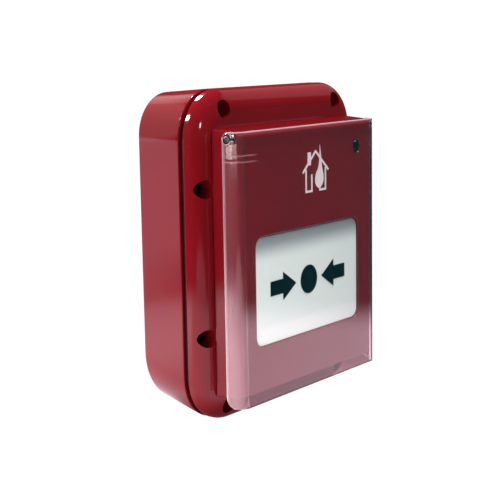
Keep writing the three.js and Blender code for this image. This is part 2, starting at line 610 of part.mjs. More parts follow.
function lamp() {
  const { radius, flange, tip } = LAMP;
  const base = BOARD.front - 0.2;
  const step = base - 1.2;
  const profile = [[0, base], [flange, base], [flange, step], [radius, step], [radius, tip + radius * 0.7]];
  for (let part = 1; part <= 4; part += 1) {
    const turn = ((part / 4) * Math.PI) / 2;
    profile.push([radius * Math.cos(turn), tip + radius * 0.7 * (1 - Math.sin(turn))]);
  }
  profile[profile.length - 1][0] = 0;
  const points = profile.map(([r, y]) => new THREE.Vector2(r, y));
  return solid(new THREE.LatheGeometry(points, ROUND).translate(LAMP.x, 0, LAMP.z));
}
add("status_lamp", lamp(), LENS_GREEN);

[-1, 1].forEach((side, blockIndex) => {
  const { ways, pitch, height, depth, z } = TERMINAL;
  const rear = boardRear + 0.2 + depth;
  const centreX = side * TERMINAL.x;
  const halfLength = (ways * pitch) / 2 + 0.6;
  const wayX = Array.from({ length: ways }, (_, way) => centreX + (way - (ways - 1) / 2) * pitch);
  const wireEntries = wayX.map((x) => rodZ(1.5, z - height / 2 - 1, z, x, boardRear + 3.4, 10));
  const screwWells = wayX.map((x) => rodY(2.1, rear + 1, rear - 2.6, x, z, 12));
  const [low, high] = [z - height / 2, z + height / 2];
  const body = box(centreX - halfLength, centreX + halfLength, rear, boardRear + 0.2, low, high);
  add(`terminal_block_${blockIndex + 1}`, cut(body, ...wireEntries, ...screwWells), TERMINAL_GREY);
  wayX.forEach((x, way) => {
    const head = rodY(1.8, rear - 0.9, rear - 2.3, x, z, 16);
    const slot = box(x - 2, x + 2, rear + 1, rear - 1.6, z - 0.3, z + 0.3);
    add(`terminal_screw_${blockIndex * ways + way + 1}`, cut(head, slot), ZINC_STEEL);
  });
});

// ---- Reset key barrel in the housing's underside -------------------------------------------------
function keyBarrel() {
  const { x, y, radius, collar, top, camReach, camHalf } = KEYWAY;
  const barrel = rodZ(radius, -53.9, top, x, y);
  const ring = rodZ(collar, -51.4, -50.2, x, y);
  const cam = box(x - camHalf, x + camReach, y + camHalf, y - camHalf, top - 0.5, top + 2);
  const slot = box(x - 2.2, x + 2.2, y + 0.6, y - 0.6, -56, -51.6);
  return cut(join(barrel, ring, cam), slot);
}
add("reset_key_barrel", keyBarrel(), BLACK_PLASTIC);

// ---- Cable ways -----------------------------------------------------------------------------------
function grommet() {
  const { radius, grommetBore } = CABLE_HOLE;
  const profile = [
    [grommetBore, -0.4], [radius - CLEARANCE, -0.4], [radius - CLEARANCE, -BOX.wall - CLEARANCE],
    [radius + 1.8, -BOX.wall - CLEARANCE], [radius + 1.8, -4.8], [grommetBore, -4.8], [grommetBore, -0.4],
  ].map(([r, y]) => new THREE.Vector2(r, y));
  return solid(new THREE.LatheGeometry(profile, 24).translate(0, 0, CABLE_HOLE.z));
}
add("cable_grommet", grommet(), SEAL_RUBBER);

function entryPlug() {
  const { y, radius, head, headHeight, bore } = ENTRY;
  const seat = entrySeat - 0.1;
  const cap = rodZ(head, seat - headHeight, seat, 0, y, 28);
  const stem = rodZ(radius - CLEARANCE, seat - 0.5, -56, 0, y, 24);
  const slot = box(-4.6, 4.6, y + 0.8, y - 0.8, seat - headHeight - 1, seat - headHeight + 0.6);
  return cut(join(cap, stem), slot, rodZ(bore, -61, -50, 0, y, 16));
}
add("entry_plug", entryPlug(), RED_PLASTIC);
add("entry_locknut",
  cut(rodZ(ENTRY.nut, ENTRY.nutZ, -57, 0, ENTRY.y, 6), rodZ(ENTRY.radius, -62, -56, 0, ENTRY.y, 24)),
  BLACK_PLASTIC);

export default callPoint;
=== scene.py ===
"""Looks of a manual call point: a glossy red wall box and bezel, a housing with a push element, and
a clear cover that lifts. Lengths in the shape functions are millimetres; meshes are in metres. +X is
the viewer's right, +Z is up, and the front faces -Y."""

import json
import math

import bmesh
import bpy
from mathutils import Matrix, Vector


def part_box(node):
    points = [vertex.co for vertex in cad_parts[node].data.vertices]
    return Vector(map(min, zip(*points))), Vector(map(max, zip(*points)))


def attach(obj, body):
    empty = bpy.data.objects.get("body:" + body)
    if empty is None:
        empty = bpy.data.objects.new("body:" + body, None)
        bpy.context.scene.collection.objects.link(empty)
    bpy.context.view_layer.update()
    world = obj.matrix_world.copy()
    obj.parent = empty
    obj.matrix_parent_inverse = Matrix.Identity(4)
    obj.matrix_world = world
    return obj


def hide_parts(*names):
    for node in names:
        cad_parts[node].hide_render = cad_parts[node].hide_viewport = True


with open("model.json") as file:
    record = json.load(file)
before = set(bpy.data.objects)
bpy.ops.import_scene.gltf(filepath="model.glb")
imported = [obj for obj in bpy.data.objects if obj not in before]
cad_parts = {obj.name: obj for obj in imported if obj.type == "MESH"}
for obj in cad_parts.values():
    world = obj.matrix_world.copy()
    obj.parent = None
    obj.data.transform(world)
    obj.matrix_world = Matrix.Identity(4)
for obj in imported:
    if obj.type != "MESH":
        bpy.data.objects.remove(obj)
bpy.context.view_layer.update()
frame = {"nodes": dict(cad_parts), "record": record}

MM = 0.001
ROUND = 64  # sides of a round piece
EDGE_STEPS = 5  # steps of a small rounded edge
SHARP = 40  # degrees of bend from which an edge shades sharp
SOFTENED = 38  # degrees of bend from which soften() rounds an edge

# ---- Camera --------------------------------------------------------------------------------------
CAMERA_PLACE = (-0.423820, -0.335311, 0.081935)
CAMERA_RIGHT = (0.60044599, -0.79949784, -0.0163652)
CAMERA_UP = (0.13797269, 0.08341993, 0.98691674)
CAMERA_BACK = (-0.78767262, -0.59484815, 0.16039803)
CAMERA_LENS, SENSOR_WIDTH = 91.809, 36  # millimetres
CLIP_START, CLIP_END = 0.01, 60  # metres


def make_camera():
    data = bpy.data.cameras.new("camera")
    data.sensor_width = SENSOR_WIDTH
    data.lens = CAMERA_LENS
    data.clip_start = CLIP_START
    data.clip_end = CLIP_END
    camera = bpy.data.objects.new("camera", data)
    matrix = Matrix((CAMERA_RIGHT, CAMERA_UP, CAMERA_BACK)).transposed().to_4x4()
    matrix.translation = Vector(CAMERA_PLACE)
    camera.matrix_world = matrix
    bpy.context.scene.collection.objects.link(camera)
    bpy.context.scene.camera = camera


make_camera()


# ---- Materials -----------------------------------------------------------------------------------
NOISE_SPAN = (0.3, 0.7)  # nearly all of a noise lies between these
DRIFT_SIZE, PATCH_SIZE = 28, 7  # millimetres across the drifts of colour and the patches of gloss
GLOSS_SPREAD = 0.15  # share by which the roughness varies


class Graph:
    """A material's node tree, with one call for each kind of node."""

    def __init__(self, name):
        self.material = bpy.data.materials.new(name)
        self.material.use_nodes = True
        self.tree = self.material.node_tree
        self.tree.nodes.clear()
        self.output = self.node("ShaderNodeOutputMaterial")
        self.place = self.node("ShaderNodeTexCoord").outputs["Object"]

    def node(self, kind, **values):
        made = self.tree.nodes.new(kind)
        for key, value in values.items():
            setattr(made, key, value)
        return made

    def put(self, socket, value):
        if isinstance(value, bpy.types.NodeSocket):
            self.tree.links.new(value, socket)
        else:
            socket.default_value = value

    def noise(self, size_mm, detail, stretch=(1, 1, 1)):
        mapping = self.node("ShaderNodeMapping")
        self.put(mapping.inputs["Vector"], self.place)
        mapping.inputs["Scale"].default_value = stretch
        made = self.node("ShaderNodeTexNoise")
        self.put(made.inputs["Vector"], mapping.outputs["Vector"])
        made.inputs["Scale"].default_value = 1000.0 / size_mm
        made.inputs["Detail"].default_value = detail
        return made.outputs["Fac"]

    def coordinates(self):
        """X, Y and Z of a place on the piece, in metres."""
        split = self.node("ShaderNodeSeparateXYZ")
        self.put(split.inputs["Vector"], self.place)
        return split.outputs["X"], split.outputs["Y"], split.outputs["Z"]

    def scaled(self, value, start, end, low=0.0, high=1.0, kind="LINEAR"):
        """Low where the value is at start, high where it is at end, and held beyond both."""
        made = self.node("ShaderNodeMapRange", interpolation_type=kind)
        self.put(made.inputs["Value"], value)
        for key, level in (("From Min", start), ("From Max", end), ("To Min", low), ("To Max", high)):
            made.inputs[key].default_value = level
        return made.outputs["Result"]

    def eased(self, value, start, end):
        return self.scaled(value, start, end, kind="SMOOTHSTEP")

    def between(self, noise, low, high):
        """A noise turned into a value from low to high."""
        return self.scaled(noise, *NOISE_SPAN, low, high)

    def blend(self, factor, first, second):
        made = self.node("ShaderNodeMix", data_type="RGBA")
        self.put(made.inputs["Factor"], factor)
        self.put(made.inputs["A"], first)
        self.put(made.inputs["B"], second)
        return made.outputs["Result"]

    def maths(self, operation, *values):
        made = self.node("ShaderNodeMath", operation=operation)
        for socket, value in zip(made.inputs, values):
            self.put(socket, value)
        return made.outputs["Value"]

    def bump(self, height, depth_mm, strength=1.0, normal=None):
        made = self.node("ShaderNodeBump")
        made.inputs["Strength"].default_value = strength
        made.inputs["Distance"].default_value = depth_mm * MM
        self.put(made.inputs["Height"], height)
        if normal is not None:
            self.put(made.inputs["Normal"], normal)
        return made.outputs["Normal"]

    def principled(self, **values):
        made = self.node("ShaderNodeBsdfPrincipled")
        for key, value in values.items():
            self.put(made.inputs[key.replace("_", " ")], value)
        return made.outputs["BSDF"]

    def mixed(self, factor, first, second):
        made = self.node("ShaderNodeMixShader")
        self.put(made.inputs["Fac"], factor)
        self.put(made.inputs[1], first)
        self.put(made.inputs[2], second)
        return made.outputs["Shader"]

    def finish(self, shader):
        self.tree.links.new(shader, self.output.inputs["Surface"])
        return self.material


def shade(colour, factor):
    return (*[min(c * factor, 1.0) for c in colour], 1.0)


def plastic(name, colour, roughness, grain_mm, depth_mm, vary=0.12, metal=0.0, gloss=0.5):
    """Moulded plastic, or metal: its colour drifts slowly, its gloss varies, and it has a fine grain."""
    g = Graph(name)
    drift = g.between(g.noise(DRIFT_SIZE, 3), 0.0, 1.0)
    smoothest, roughest = roughness * (1 - GLOSS_SPREAD), roughness * (1 + GLOSS_SPREAD)
    return g.finish(g.principled(
        Base_Color=g.blend(drift, shade(colour, 1 - vary), shade(colour, 1 + vary)),
        Roughness=g.between(g.noise(PATCH_SIZE, 4), smoothest, roughest),
        Normal=g.bump(g.noise(grain_mm, 3), depth_mm),
        Metallic=metal,
        Specular_IOR_Level=gloss,
    ))


MOULD_LINES = (37.6, 40.0)  # low edges of the two raised lines across the cover's corners
MOULD_LINE = 0.45  # their width
CLEAR, LIGHT_THROUGH = (0.97, 0.955, 0.96, 1), (0.9, 0.88, 0.89, 1)
# Colours of the painted highlight on the cut edges, and of the pinkish painted reflection on the left
# bend and its mould lines.
EDGE_GLOW_COLOUR, PAINTED_SHEEN_COLOUR = (0.62, 0.5, 0.55, 1), (0.85, 0.5, 0.56, 1)
EDGE_GLOW_LEVEL, LINE_LEVEL = 0.75, 0.14  # strength of the painted highlight on the cut edges, and of the painted highlight on the mould lines


def clear_plastic():
    """Clear polycarbonate with fine hairlines and slow waves. Its cut edges at the top and at the rear
    carry a painted highlight, a milky glow that is brighter towards the bottom; the left bend carries a
    pinkish painted reflection that grows downwards, and its mould lines a faint painted highlight.
    Light passes straight through it, to whatever is lit behind it."""
    g = Graph("clear_polycarbonate")
    x, y, z = g.coordinates()

    def along(coordinate, start_mm, end_mm, high=1.0, low=0.0):
        """Low at the start, in millimetres, and high at the end."""
        return g.scaled(coordinate, start_mm * MM, end_mm * MM, low, high)

    hairlines = g.bump(g.noise(0.5, 2, stretch=(1, 1, 0.04)), 0.0004, 0.3)
    clear = g.principled(
        Base_Color=CLEAR,
        Roughness=g.between(g.noise(4, 4), 0.015, 0.04),
        IOR=1.5,
        Transmission_Weight=1.0,
        Normal=g.bump(g.noise(34, 1), 0.01, 0.3, hairlines),
    )
    through = g.node("ShaderNodeBsdfTransparent")
    g.put(through.inputs["Color"], LIGHT_THROUGH)
    rays = g.node("ShaderNodeLightPath").outputs
    lighting = g.maths("MAXIMUM", rays["Is Shadow Ray"], rays["Is Diffuse Ray"])
    clear = g.mixed(lighting, clear, through.outputs["BSDF"])
    # Painted highlight: a milky glow laid on the cut edges.
    edge_glow = g.principled(
        Base_Color=EDGE_GLOW_COLOUR,
        Roughness=g.between(g.noise(0.6, 2), 0.3, 0.5),
        Transmission_Weight=0.35,
    )
    # Painted reflection: a pinkish sheen for the pale floor mirrored in the left bend, also used as a
    # faint painted highlight on the mould lines.
    painted_sheen = g.principled(Base_Color=PAINTED_SHEEN_COLOUR, Roughness=0.35)

    # Painted highlight on the rear cut edge, on the left only and brighter towards the bottom, and on the
    # top cut edge.
    at_rear, not_right = along(y, -40.55, -40.3, EDGE_GLOW_LEVEL), along(x, 30, 10)
    brighter_below, at_top = along(z, 15, -30, 1, 0.5), along(z, 48.65, 48.9, EDGE_GLOW_LEVEL)
    rear_edge_glow = g.maths("MULTIPLY", g.maths("MULTIPLY", at_rear, not_right), brighter_below)
    glowing_edges = g.maths("MAXIMUM", rear_edge_glow, at_top)

    # The painted reflection grows towards the bottom of the bend, and the mould lines get a faint painted
    # highlight.
    at_bend, growing_down = along(x, -44.9, -46.9), along(z, 0, -34, 0.2, 0.03)
    bend = g.maths("MULTIPLY", at_bend, growing_down)
    half = MOULD_LINE / 2
    low, high = [g.maths("COMPARE", z, (line + half) * MM, half * MM) for line in MOULD_LINES]
    lines = g.maths("MULTIPLY", g.maths("ADD", low, high), along(x, -36.5, -39.5, LINE_LEVEL))

    sheened = g.mixed(g.maths("MAXIMUM", bend, lines), clear, painted_sheen)
    return g.finish(g.mixed(glowing_edges, sheened, edge_glow))


# Painted light and shade on the element: whiter at the bottom, its own white, and the grey of a painted
# shadow at the top.
LIT_BOTTOM_WHITE, FACE_WHITE, SHADED_TOP_GREY = (0.83, 0.91, 0.88, 1), (0.76, 0.87, 0.83, 1), (0.28, 0.33, 0.34, 1)


def element_plastic():
    """White plastic, with a grey band of painted shadow along the element's top edge and a whiter
    band of painted light along its bottom.
    """
    g = Graph("white_moulded_plastic")
    z = g.coordinates()[2]
    # Painted shadow of the window's top edge, and painted light from below on the bottom band.
    above_painted_light, in_painted_shadow = g.eased(z, -30 * MM, -27.5 * MM), g.eased(z, -3 * MM, 5.5 * MM)
    return g.finish(g.principled(
        Base_Color=g.blend(in_painted_shadow, g.blend(above_painted_light, LIT_BOTTOM_WHITE, FACE_WHITE), SHADED_TOP_GREY),
        Roughness=g.between(g.noise(5, 3), 0.28, 0.36),
        Normal=g.bump(g.noise(0.8, 3), 0.003),
    ))


RED = (0.15, 0.0034, 0.0066)
# Slot: name, colour, roughness, size and depth of the grain in millimetres, share of colour drift.
MATERIALS = {
    "red_plastic": plastic("red_moulded_plastic", RED, 0.09, 2.2, 0.002, 0.06),
    "clear_plastic": clear_plastic(),
    "white_plastic": element_plastic(),
    "black_plastic": plastic("black_moulded_plastic", (0.02, 0.02, 0.022), 0.4, 0.7, 0.01),
    "black_ink": plastic("black_printed_ink", (0.0004, 0.006, 0.0085), 0.6, 0.4, 0.003, gloss=0.02),
    "white_ink": plastic("white_printed_ink", (0.8, 0.72, 0.74), 0.5, 0.4, 0.004, 0.05, gloss=0.2),
    "seal_rubber": plastic("seal_rubber", (0.03, 0.004, 0.006), 0.75, 0.5, 0.02, 0.2),
    "zinc_steel": plastic("black_zinc_steel", (0.035, 0.02, 0.022), 0.5, 0.3, 0.004, 0.1, metal=1.0),
    "bright_steel": plastic("polished_steel", (0.86, 0.86, 0.88), 0.1, 0.3, 0.001, 0.03, metal=1.0),
    "board_green": plastic("solder_mask", (0.02, 0.12, 0.04), 0.3, 1.5, 0.01, 0.3),
    "lens_green": plastic("green_lamp_lens", (0.0003, 0.006, 0.003), 0.07, 2, 0.002, 0.3, gloss=0.2),
    "terminal_grey": plastic("grey_terminal_plastic", (0.12, 0.13, 0.14), 0.45, 0.6, 0.01),
}


# ---- Shapes --------------------------------------------------------------------------------------
def ring(half_width, half_height, high_radius, centre_z, steps, lead=1.5, low_radius=None):
    """A rounded rectangle in XZ, with a point a little before and after each corner's arc, so that
    the straight sides shade flat."""
    points = []
    for side_x, side_z, start in ((1, -1, -90), (1, 1, 0), (-1, 1, 90), (-1, -1, 180)):
        radius = low_radius if low_radius and side_z < 0 else high_radius
        x = side_x * (half_width - radius)
        z = centre_z + side_z * (half_height - radius)
        first, last = math.radians(start), math.radians(start + 90)
        points.append((x + radius * math.cos(first) + lead * math.sin(first),
                       z + radius * math.sin(first) - lead * math.cos(first)))
        for step in range(steps + 1):
            angle = first + (last - first) * step / steps
            points.append((x + radius * math.cos(angle), z + radius * math.sin(angle)))
        points.append((x + radius * math.cos(last) - lead * math.sin(last),
                       z + radius * math.sin(last) + lead * math.cos(last)))
    return points


def arc(centre_a, centre_b, radius, start, end, steps):
    """Points of an arc from start to end degrees."""
    angles = [math.radians(start + (end - start) * i / steps) for i in range(steps + 1)]
    return [(centre_a + radius * math.cos(a), centre_b + radius * math.sin(a)) for a in angles]


def build(name, verts, faces):
    """A mesh object from millimetres, closed, with its faces pointing out and smooth up to a bend."""
    bm = bmesh.new()
    made = [bm.verts.new((x * MM, y * MM, z * MM)) for x, y, z in verts]
    for face in faces:
        bm.faces.new([made[i] for i in face])
    bmesh.ops.remove_doubles(bm, verts=bm.verts, dist=1e-7)
    bmesh.ops.recalc_face_normals(bm, faces=bm.faces)
    mesh = bpy.data.meshes.new(name)
    bm.to_mesh(mesh)
    bm.free()
    piece = bpy.data.objects.new(name, mesh)
    bpy.context.scene.collection.objects.link(piece)
    smooth(piece)
    return piece


def smooth(piece, sharp=SHARP):
    piece.data.polygons.foreach_set("use_smooth", [True] * len(piece.data.polygons))
    piece.data.set_sharp_from_angle(angle=math.radians(sharp))
    piece.data.update()


def point(axis, along, a, b):
    """A point from its place along an axis and the two coordinates across it."""
    return {"X": (along, a, b), "Y": (a, along, b), "Z": (a, b, along)}[axis]


def loft(name, sections, axis="Y"):
    """Sections (place along the axis, outline), joined by walls and closed at both ends."""
    count = len(sections[0][1])
    verts = [point(axis, along, a, b) for along, outline in sections for a, b in outline]
    faces = []
    for level in range(len(sections) - 1):
        for i in range(count):
            a, b = level * count + i, level * count + (i + 1) % count
            faces.append((a, b, b + count, a + count))
    last = (len(sections) - 1) * count
    faces.append(tuple(range(count)))
    faces.append(tuple(range(last, last + count)))
    return build(name, verts, faces)


def lathe(name, profile, centre, axis="Y", sides=ROUND, closed=False):
    """A profile of (radius, place along the axis) turned about the axis through centre. closed joins
    the last point to the first, for a ring with a hole through it."""
    verts, faces, rows = [], [], []
    for radius, along in profile:
        row = []
        for i in range(1 if radius < 1e-6 else sides):
            turn = 2 * math.pi * i / sides
            a, b = radius * math.cos(turn), radius * math.sin(turn)
            row.append(len(verts))
            verts.append(point(axis, along, centre[0] + a, centre[1] + b))
        rows.append(row)
    pairs = list(zip(rows, rows[1:])) + ([(rows[-1], rows[0])] if closed else [])
    for low, high in pairs:
        for i in range(sides):
            j = (i + 1) % sides
            corners = [low[i % len(low)], low[j % len(low)], high[j % len(high)], high[i % len(high)]]
            face = list(dict.fromkeys(corners))
            if len(face) > 2:
                faces.append(tuple(face))
    return build(name, verts, faces)


def rod(radius, low, high, centre, axis="Y", sides=ROUND):
    """A round tool along the axis, from low to high."""
    return lathe("tool", [(0, low), (radius, low), (radius, high), (0, high)], centre, axis, sides)


def block(low, high):
    """A box-shaped tool between two corners."""
    (x0, y0, z0), (x1, y1, z1) = low, high
    outline = [(x0, z0), (x1, z0), (x1, z1), (x0, z1)]
    return loft("tool", [(y0, outline), (y1, outline)])


def settle(piece):
    """Applies the piece's modifiers to its mesh."""
    graph = bpy.context.evaluated_depsgraph_get()
    mesh = bpy.data.meshes.new_from_object(piece.evaluated_get(graph))
    piece.modifiers.clear()
    old, piece.data = piece.data, mesh
    bpy.data.meshes.remove(old)


def combine(piece, operation, *tools):
    """Cuts, joins or intersects the piece with each tool in turn, and removes the tools."""
    for tool in tools:
        modifier = piece.modifiers.new("shape", "BOOLEAN")
        modifier.operation = operation
        modifier.solver = "MANIFOLD"
        modifier.object = tool
    settle(piece)
    for tool in tools:
        mesh = tool.data
        bpy.data.objects.remove(tool)
        bpy.data.meshes.remove(mesh)
    return piece


def soften(piece, width_mm):
    """Rounds the edges that bend more than SOFTENED."""
    modifier = piece.modifiers.new("round", "BEVEL")
    modifier.limit_method = "ANGLE"
    modifier.angle_limit = math.radians(SOFTENED)
    modifier.width = width_mm * MM
    modifier.segments = 3
    modifier.use_clamp_overlap = True
    settle(piece)


def dress(piece, slot, body, *nodes, sharp=SHARP):
    """Gives the piece its material, its body, and the CAD nodes that it stands for."""
    smooth(piece, sharp)
    piece.data.materials.clear()
    piece.data.materials.append(MATERIALS[slot])
    piece.modifiers.new("normals", "WEIGHTED_NORMAL").keep_sharp = True
    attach(piece, body)
    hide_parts(*nodes)


# ---- Wall box ------------------------------------------------------------------------------------
HALF_WIDTH, TOP, BOTTOM, CORNER = 54.0, 64.7, -66.4, 19.2  # next to the bezel
BOX_DEPTH, BOX_WALL, REAR_ROUND, SEAM_ROUND = 22.7, 2.8, 0.8, 0.4
LEAN_X, LEAN_TOP, LEAN_BOTTOM = 2.7, 1.6, 3.3  # how much smaller the rear is
TIGHTER_TOP, ROUNDER_BOTTOM = 2.2, 4.0  # change of the corners' radius at the rear
BEZEL_SCREWS = [(x, z) for x in (-38.6, 38.6) for z in (57, -59.6)]
BEZEL_SCREWS += [(x, z) for x in (-49.8, 49.8) for z in (27.2, -30.8)]
PILLAR, SCREW_HOLE, PILOT_END = 4.2, 1.9, -9.2  # radii, and where the pilot holes end
WALL_HOLE, WALL_HOLES = 2.4, [(x, z) for x in (-32, 32) for z in (40, -44)]
CABLE_HOLE, CABLE_PLACE = 9, (0, -34)  # in the rear wall
ENTRY_HOLE, ENTRY_BOSS, ENTRY_PLACE = 6, 9.2, (0, -12)  # in the bottom wall, from below
ENTRY_SEAT, ENTRY_BOSS_TOP = BOTTOM + 0.35, -60.2


def outline_at(y, inset, steps=16):
    """The box's and the bezel's outline, smaller towards the rear."""
    lean = max(0.0, 1 + y / BOX_DEPTH)
    half_width = HALF_WIDTH - LEAN_X * lean - inset
    top = TOP - LEAN_TOP * lean - inset
    bottom = BOTTOM + LEAN_BOTTOM * lean + inset
    radius = CORNER - TIGHTER_TOP * lean - inset
    low_radius = CORNER + ROUNDER_BOTTOM * lean - inset
    half_height, centre_z = (top - bottom) / 2, (top + bottom) / 2
    return (y, ring(half_width, half_height, radius, centre_z, steps, low_radius=low_radius))


def edge_turn():
    """(share across, share along) of a quarter round."""
    turns = [math.pi / 2 * i / EDGE_STEPS for i in range(EDGE_STEPS + 1)]
    return [(1 - math.sin(t), 1 - math.cos(t)) for t in turns]


def rear_round(outline, y, size):
    """Sections of a rounded rear edge. outline gives the section at a place and an inset."""
    return [outline(y - size * along, size * across) for across, along in edge_turn()]


def front_round(outline, y, size):
    return [outline(y + size * across, size * along) for across, along in edge_turn()]


def wall_box():
    sections = rear_round(outline_at, 0, REAR_ROUND) + [outline_at(-2.4, 0), outline_at(-20.8, 0)]
    sections += front_round(outline_at, -BOX_DEPTH, SEAM_ROUND)
    inside = loft("tool", [outline_at(-BOX_WALL, BOX_WALL), outline_at(-BOX_DEPTH - 2, BOX_WALL)])
    box = loft("wall_box", sections)
    combine(box, "DIFFERENCE", inside)
    pillars = [rod(PILLAR, -1, -BOX_DEPTH + 0.1, place, sides=32) for place in BEZEL_SCREWS]
    combine(box, "UNION", *pillars)
    combine(box, "INTERSECT", loft("tool", sections))
    combine(box, "UNION", rod(ENTRY_BOSS, ENTRY_SEAT, ENTRY_BOSS_TOP, ENTRY_PLACE, "Z"))
    holes = [rod(SCREW_HOLE, PILOT_END, -BOX_DEPTH - 1, place, sides=24) for place in BEZEL_SCREWS]
    holes += [rod(WALL_HOLE, 1, -4, place, sides=32) for place in WALL_HOLES]
    holes.append(rod(CABLE_HOLE, 1, -4, CABLE_PLACE))
    holes.append(rod(ENTRY_HOLE, ENTRY_SEAT - 1, ENTRY_BOSS_TOP + 1.2, ENTRY_PLACE, "Z"))
    combine(box, "DIFFERENCE", *holes)
    dress(box, "red_plastic", "housing", "back_box")


wall_box()

# ---- Bezel ---------------------------------------------------------------------------------------
BEZEL_REAR, RIM_START, RIM_DEPTH, RIM_INSET = -24.8, -26.6, 6.7, 8.5
BEZEL_FACE, BEZEL_LEDGE = RIM_START - RIM_DEPTH, 1.2  # the rim's crown, and the flat on it
BEZEL_STEPS, RIM_STEPS = 24, 22
WELL, WELL_SEAT = 3.6, -25.9  # radius, and where the well ends
HOUSING_SCREWS = [(x, z) for x in (-39.5, 39.5) for z in (46, -48.6)]
HOUSING_SCREW_HEAD, HOUSING_SCREW_HOLE, HOUSING_SCREW_SEAT = 3.3, 1.75, -28.3
CENTRE_Z = -2.3  # middle of the bezel's opening and of the housing


def stepped_hole(place, rear_radius, front_radius, step, sides):
    """A tool through the bezel, of one radius behind the step and another in front of it."""
    rear, front = BEZEL_REAR + 1, BEZEL_FACE - 2.7
    profile = [(0, rear), (rear_radius, rear), (rear_radius, step)]
    profile += [(front_radius, step), (front_radius, front), (0, front)]
    return lathe("tool", profile, place, sides=sides)


def bezel():
    def at(y, inset):
        return outline_at(y, inset, BEZEL_STEPS)

    sections = rear_round(at, BEZEL_REAR, 0.4)
    for step in range(RIM_STEPS + 1):
        turn = math.pi / 2 * step / RIM_STEPS
        sections.append(at(RIM_START - RIM_DEPTH * math.sin(turn), RIM_INSET * (1 - math.cos(turn))))
    sections.append(at(BEZEL_FACE, RIM_INSET + BEZEL_LEDGE))
    piece = loft("bezel_frame", sections)
    opening = ring(37, 41, 3, CENTRE_Z, 8)
    tools = [loft("tool", [(BEZEL_REAR + 2, opening), (BEZEL_FACE - 2, opening)])]
    tools += [stepped_hole(place, SCREW_HOLE, WELL, WELL_SEAT, 72) for place in BEZEL_SCREWS]
    for place in HOUSING_SCREWS:
        tools.append(stepped_hole(place, HOUSING_SCREW_HEAD, HOUSING_SCREW_HOLE, HOUSING_SCREW_SEAT, 32))
    combine(piece, "DIFFERENCE", *tools)
    soften(piece, 0.28)
    dress(piece, "red_plastic", "housing", "bezel", sharp=45)


bezel()


def socket_screws():
    """Button-head screws at the bottom of the bezel's wells, with six-sided sockets."""
    seat, top, tip = -26.1, -28.1, -11.2
    shank, head, crown_round, socket, socket_depth = 1.6, 2.9, 0.6, 1.5, 1.3
    crown = [(head - crown_round + r, y) for r, y in arc(0, top + crown_round, crown_round, 0, -90, 6)]
    profile = [(0, tip), (0.5, tip), (shank, tip - 1.1), (shank, seat), (head - 0.2, seat)]
    first = lathe("tool", profile + [(head, seat - 0.2)] + crown + [(0, top)], (0, 0), sides=48)
    combine(first, "DIFFERENCE", rod(socket, top + socket_depth, top - 1, (0, 0), sides=6))
    for index, (x, z) in enumerate(BEZEL_SCREWS):
        screw = bpy.data.objects.new(f"well_screw_{index + 1}", first.data.copy())
        screw.data.transform(Matrix.Translation((x * MM, 0, z * MM)))
        bpy.context.scene.collection.objects.link(screw)
        dress(screw, "zinc_steel", "housing", f"bezel_screw_{index + 1}", sharp=35)
    bpy.data.objects.remove(first)


socket_screws()

# ---- Front housing -------------------------------------------------------------------------------
HOUSING_HALF_WIDTH, HOUSING_HALF_HEIGHT, HOUSING_WALL = 47.0, 52.3, 2.2
HOUSING_TAPER = 0.9  # how much smaller each side is at the front
HOUSING_REAR, HOUSING_FRONT, HOUSING_INSIDE = -33.5, -45.0, -42.8
TOP_ROUND, FRONT_ROUND, LIP = 2.4, 0.6, 0.45
WINDOW = (36.7, 21.9, 4.5, -14.0)  # half width, half height, radius, middle
LAMP_PLACE, LAMP_HOLE = (35.6, 38.0), 2.85
HINGE, PIN_HOLE = (-42.5, 46.6), 1.9
KEY_PLACE, KEY_HOLE = (20.0, -38.2), 3.5
POST_END = -43.1  # just inside the front wall
SCREW_POST, INNER_POST, INNER_HOLE = 2.9, 2.4, 1.4  # radii
# Inner posts: place, rear end and where their holes begin, on one side and in the middle.
SIDE_POSTS = [(33, 12.2, -36.0, -35.0), (33, -40.3, -36.0, -35.0), (36.5, 20.5, -36.9, -35.6)]
MIDDLE_POST = (0, 34, -36.9, -35.6)
HINGE_BLOCK = ((39.8, 45.4), (-43.6, -39.2), (43.2, 47.6))  # X, Y and Z, on one side


def housing_outline(y, inset):
    forward = (HOUSING_REAR - y) / (HOUSING_REAR - HOUSING_FRONT)
    half_width = HOUSING_HALF_WIDTH - HOUSING_TAPER * forward - inset
    half_height = HOUSING_HALF_HEIGHT - HOUSING_TAPER * forward - inset
    return (y, ring(half_width, half_height, max(1.0 - inset, 0.4), CENTRE_Z, 8, 1.0))


def window_outline(y, grow):
    half_width, half_height, radius, centre_z = WINDOW
    return (y, ring(half_width + grow, half_height + grow, radius + grow, centre_z, 14, 0.8))


def top_rounding():
    """A tool that rounds the housing's top front edge."""
    top_z = CENTRE_Z + HOUSING_HALF_HEIGHT - HOUSING_TAPER
    centre_y, centre_z = HOUSING_FRONT + TOP_ROUND, top_z - TOP_ROUND
    outline = arc(centre_y, centre_z, TOP_ROUND, 90, 180, 16)
    outline += [(HOUSING_FRONT - 2, centre_z), (HOUSING_FRONT - 2, top_z + 3), (centre_y, top_z + 3)]
    return loft("tool", [(-60, outline), (60, outline)], "X")


